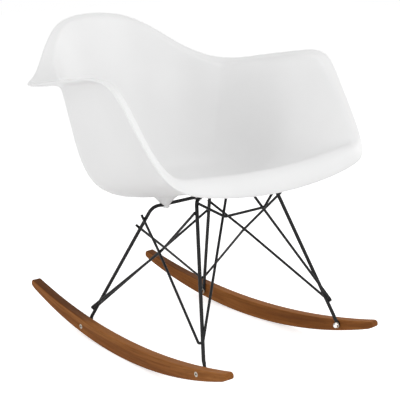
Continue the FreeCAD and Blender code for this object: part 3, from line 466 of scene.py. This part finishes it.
def shell_rows():
    """All control rows: the upper face, three rows round the edge, and the underside back to the
    middle, a wall's thickness away along the cross product of ring and row directions."""
    inner = upper_rows()
    drop = np.array([0.0, 0.0, SHELL_WALL])
    under = [row - drop for row in inner[:2]]
    for index in range(2, len(inner)):
        row = inner[index]
        above = inner[min(index + 1, len(inner) - 1)]
        normal = unit(np.cross(np.roll(row, -1, 0) - np.roll(row, 1, 0), above - inner[index - 1]))
        under.append(row + normal * SHELL_WALL)
    rolled = (under[-1] - inner[-1]) * (RIM_THICKNESS / SHELL_WALL / 2.0)
    edge = [inner[-1] - rolled, inner[-1], inner[-1] + rolled]
    return np.array(inner[:-1] + edge + under[-2::-1])


def ring_controls(ring):
    """Control points whose closed uniform cubic passes through the ring: each ring point is its
    own control point's four parts, and one part each of the two beside it, over six."""
    own = np.eye(len(ring))
    weights = own * 4.0 + np.roll(own, 1, 1) + np.roll(own, -1, 1)
    return np.linalg.solve(weights / 6.0, ring)


def cubic_basis(knots, count, t):
    """Values of the count cubic B-spline basis functions at each t, by the recursion on degree."""
    t = np.clip(t, knots[3], knots[count] - 1e-9)[:, None]
    basis = ((t >= knots[:-1]) & (t < knots[1:])).astype(float)
    for degree in (1, 2, 3):
        size = len(knots) - 1 - degree
        start, stop = knots[:size], knots[degree + 1:]
        rise = knots[degree:-1] - start
        fall = stop - knots[1:1 + size]
        growing = np.where(rise > 0, (t - start) / np.where(rise > 0, rise, 1.0), 0.0)
        fading = np.where(fall > 0, (stop - t) / np.where(fall > 0, fall, 1.0), 0.0)
        basis = growing * basis[:, :-1] + fading * basis[:, 1:]
    return basis


def shell_surface():
    """The shell's surface on a grid: clamped cubic across the rows, closed cubic round each."""
    controls = np.array([ring_controls(row) for row in shell_rows()])
    rows, columns = controls.shape[:2]
    spans = rows - 3
    knots_across = np.concatenate([[0.0] * 3, np.arange(spans + 1), [float(spans)] * 3])
    across = np.linspace(0.0, spans, spans * ROWS_A_SPAN + 1)
    weights_across = cubic_basis(knots_across, rows, across)
    wrapped = np.concatenate([controls, controls[:, :3]], axis=1)
    knots_around = np.arange(columns + 7, dtype=float)
    around = 3.0 + np.linspace(0.0, columns, columns * COLUMNS_A_SPAN, endpoint=False)
    weights_around = cubic_basis(knots_around, columns + 3, around)
    return np.einsum("tr,rck,sc->tsk", weights_across, wrapped, weights_around)


def shell_piece(grid):
    """The shell's grid, with both small discs at the middle of the seat closed by shrinking rings.
    The rings turn left and run outwards over the seat, so the faces are turned round once made."""
    shares = np.array([0.25, 0.5, 0.75])[:, None, None]
    top_middle = grid[0].mean(0)
    low_middle = grid[-1].mean(0)
    top = top_middle + (grid[0] - top_middle) * shares
    low = low_middle + (grid[-1] - low_middle) * shares[::-1]
    points, blocks = capped(np.concatenate([top, grid, low]), top_middle, low_middle)
    piece = mesh_piece("shell_skin", points * MM, blocks, white_shell, (True, True))
    piece.data.flip_normals()
    return piece


shell_grid = shell_surface()
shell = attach(shell_piece(shell_grid), "root")
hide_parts("seat_shell")


# Bosses under the seat: a flared post from the frame's bar up into the underside.

UNDERSIDE = shell_grid[len(shell_grid) // 2 + UNDERSIDE_ROWS_PAST_EDGE:].reshape(-1, 3)
NEAR_POINTS = 4

# Name, distance from the chair's middle plane, and the y and z of the bar's middle.
BOSSES = (("rear", 47.0, 14.7, 307.8), ("front", 62.0, -158.8, 368.0))
BOSS_RADIUS = 9.8
BOSS_FOOT_RADIUS = 8.9
BOSS_TAPER = 17.0
BOSS_FLARE = 4.2
BOSS_SINK = 1.0
BOSS_RINGS = 18
BOSS_STEPS = 64


def underside_height(points):
    """Height of the shell's underside at each point: the nearest grid points in plan, each
    weighted by one over its squared distance, with a little added so that none divides by zero."""
    gap = ((points[:, None, :2] - UNDERSIDE[None, :, :2]) ** 2).sum(-1) + 0.01
    near = np.argsort(gap, axis=1)[:, :NEAR_POINTS]
    weight = 1.0 / np.take_along_axis(gap, near, axis=1)
    return (UNDERSIDE[near, 2] * weight).sum(1) / weight.sum(1)


def boss(name, x, y, z):
    """Surface of revolution: its radius is that at the bar, plus the taper times t, plus the flare
    times t to the fourth, with t from the bar's middle (0) to just inside the shell's wall (1), so
    that its top follows the underside. The foot and the hidden top are flat."""
    t = np.linspace(0.0, 1.0, BOSS_RINGS)
    radius = BOSS_RADIUS + BOSS_TAPER * t + BOSS_FLARE * t ** 4
    post = turned(np.stack([radius, t], axis=1), BOSS_STEPS)
    post[..., :2] += (x, y)
    top = underside_height(post.reshape(-1, 3)).reshape(post.shape[:2]) + BOSS_SINK
    post[..., 2] = z + post[..., 2] * (top - z)
    foot = turned([(BOSS_FOOT_RADIUS, 0.0)], BOSS_STEPS) + np.array([x, y, z])
    points, blocks = capped(np.concatenate([foot, post]), (x, y, z), post[-1].mean(0))
    return mesh_piece(name, points * MM, blocks, white_shell, (True, False))


for place_name, offset, y, z in BOSSES:
    for side, sign in (("left", 1.0), ("right", -1.0)):
        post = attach(boss("shell_boss_%s_%s" % (place_name, side), sign * offset, y, z), "root")


# Weld beads where the rods meet, from the left side's points; x of zero has no mirror image.

WELDS = np.array((
    (164.5, 126.9, 61.6), (184.2, -263.5, 104.1), (121.7, -58.3, 232.4), (0.0, 74.6, 182.7),
    (118.7, -170.0, 338.7), (100.1, 40.9, 258.4), (95.9, 28.2, 281.3), (28.0, -162.1, 369.3),
    (110.9, -166.6, 357.4)))
BEAD_RADIUS = 3.0
BEAD_RINGS = 10
BEAD_STEPS = 16


def weld_beads():
    """Small spheres, sunk into the rods that they join: radius times sine of the angle out, and
    minus radius times its cosine up, swept round z, then copied to each weld on both sides."""
    angle = np.linspace(0.0, np.pi, BEAD_RINGS + 2)[1:-1]
    rings = turned(BEAD_RADIUS * np.stack([np.sin(angle), -np.cos(angle)], axis=1), BEAD_STEPS)
    sphere, blocks = capped(rings, (0.0, 0.0, -BEAD_RADIUS), (0.0, 0.0, BEAD_RADIUS))
    mirrored = WELDS[WELDS[:, 0] > 0.0] * np.array([-1.0, 1.0, 1.0])
    places = np.concatenate([WELDS, mirrored])
    points = (places[:, None, :] + sphere).reshape(-1, 3)
    start = np.arange(len(places))[:, None, None] * len(sphere)
    blocks = [(start + block).reshape(-1, block.shape[1]) for block in blocks]
    return mesh_piece("weld_beads", points * MM, blocks, black_rod, (True, True))


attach(weld_beads(), "root")


# Finishes of the pieces that stay as the solid model has them, by the start of their names.

FINISHES = (("frame_clip", white_clip), ("clip_screws", screw_steel),
            ("rocker_cap_nut", bright_nut), ("rocker_bolt", bolt_steel),
            ("rocker_washer", bolt_steel), ("rocker_", rocker_wood), ("seat_shell", white_shell),
            ("", black_rod))

for name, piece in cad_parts.items():
    for slot in piece.material_slots:
        slot.material = next(finish for start, finish in FINISHES if name.startswith(start))


# Floor, backdrop and light.

FLOOR_HALF_SIZE = 6.0
FLOOR_GLOW = 0.58
AMBIENT_LIGHT = 0.42
WHITE = (1.0, 1.0, 1.0)
PALE = (0.80, 0.80, 0.80)

scene = bpy.context.scene
scene.view_settings.view_transform = "Standard"


def floor_material():
    """Pale floor. To the camera and in reflections it is white where nothing shades it."""
    n = Finish("studio_floor")
    seen = n.seen()
    n.set(Roughness=1.0, Specular_IOR_Level=0.0, Base_Color=n.mixed(seen, PALE, WHITE),
          Emission_Color=WHITE, Emission_Strength=n.math("MULTIPLY", seen, FLOOR_GLOW))
    return n.material


corners = np.array([[-1.0, -1.0, 0.0], [1.0, -1.0, 0.0], [1.0, 1.0, 0.0], [-1.0, 1.0, 0.0]])
floor = mesh_piece("studio_floor", corners * FLOOR_HALF_SIZE, [np.arange(4)[None, :]],
                   floor_material(), (False,))


def studio_world():
    """Even light from all round, and a white backdrop to the camera and in reflections."""
    world = bpy.data.worlds.new("studio")
    world.use_nodes = True
    n = Nodes(world.node_tree)
    choose = n.add("ShaderNodeMixShader")
    n.feed(choose.inputs[0], n.seen())
    for index, strength in ((1, AMBIENT_LIGHT), (2, 1.0)):
        light = n.add("ShaderNodeBackground")
        n.feed(light.inputs["Color"], WHITE)
        n.feed(light.inputs["Strength"], strength)
        n.feed(choose.inputs[index], light.outputs[0])
    out = n.add("ShaderNodeOutputWorld")
    n.feed(out.inputs["Surface"], choose.outputs[0])
    return world


scene.world = studio_world()

# Name, place, the point that it faces, side and watts of each square lamp.
SOFTBOXES = (
    ("front_softbox", (1.6, -2.4, 2.6), (0.0, 0.1, 0.5), 1.6, 21.0),
    ("near_side_softbox", (-3.0, -0.6, 0.6), (0.0, 0.0, 0.35), 1.5, 13.0),
    ("camera_softbox", (-1.6, -2.4, 1.0), (0.0, 0.0, 0.45), 1.6, 20.0),
    ("top_softbox", (0.0, -0.2, 3.0), (0.0, 0.0, 0.4), 2.2, 14.5),
    ("back_softbox", (-2.4, 2.0, 1.4), (0.0, 0.0, 0.45), 1.6, 14.0),
    ("far_side_softbox", (2.9, -0.4, 1.6), (0.0, 0.1, 0.5), 1.6, 15.0),
)

for name, place, target, side, watts in SOFTBOXES:
    lamp = bpy.data.lights.new(name, "AREA")
    lamp.size = side
    lamp.energy = watts
    holder = bpy.data.objects.new(name, lamp)
    holder.location = place
    holder.rotation_euler = (Vector(target) - Vector(place)).to_track_quat("-Z", "Y").to_euler()
    scene.collection.objects.link(holder)


# The camera stands at the photograph's angle, to the sitter's right and a little above. Degrees,
# metres, and millimetres for the lens and its sensor.

CAMERA_BEARING = -41.0
CAMERA_LIFT = 15.19
CAMERA_ROLL = -0.05
CAMERA_TARGET = (0.0, -0.04722, 0.32117)
CAMERA_DISTANCE = 2.53325
LENS = 105.12
SENSOR = 36.0


def photo_camera():
    """A camera whose back, right and up follow from its bearing, its lift and its roll."""
    bearing, lift, roll = (math.radians(a) for a in (CAMERA_BEARING, CAMERA_LIFT, CAMERA_ROLL))
    level = math.cos(lift)
    back = Vector((math.sin(bearing) * level, -math.cos(bearing) * level, math.sin(lift)))
    right = (-back).cross(Vector((0.0, 0.0, 1.0))).normalized()
    up = right.cross(-back)
    rolled_right = right * math.cos(roll) + up * math.sin(roll)
    rolled_up = up * math.cos(roll) - right * math.sin(roll)
    data = bpy.data.cameras.new("photo_camera")
    data.sensor_width = SENSOR
    data.lens = LENS
    holder = bpy.data.objects.new("photo_camera", data)
    turn = Matrix((rolled_right, rolled_up, back)).transposed().to_4x4()
    holder.matrix_world = Matrix.Translation(Vector(CAMERA_TARGET) + back * CAMERA_DISTANCE) @ turn
    scene.collection.objects.link(holder)
    return holder


scene.camera = photo_camera()
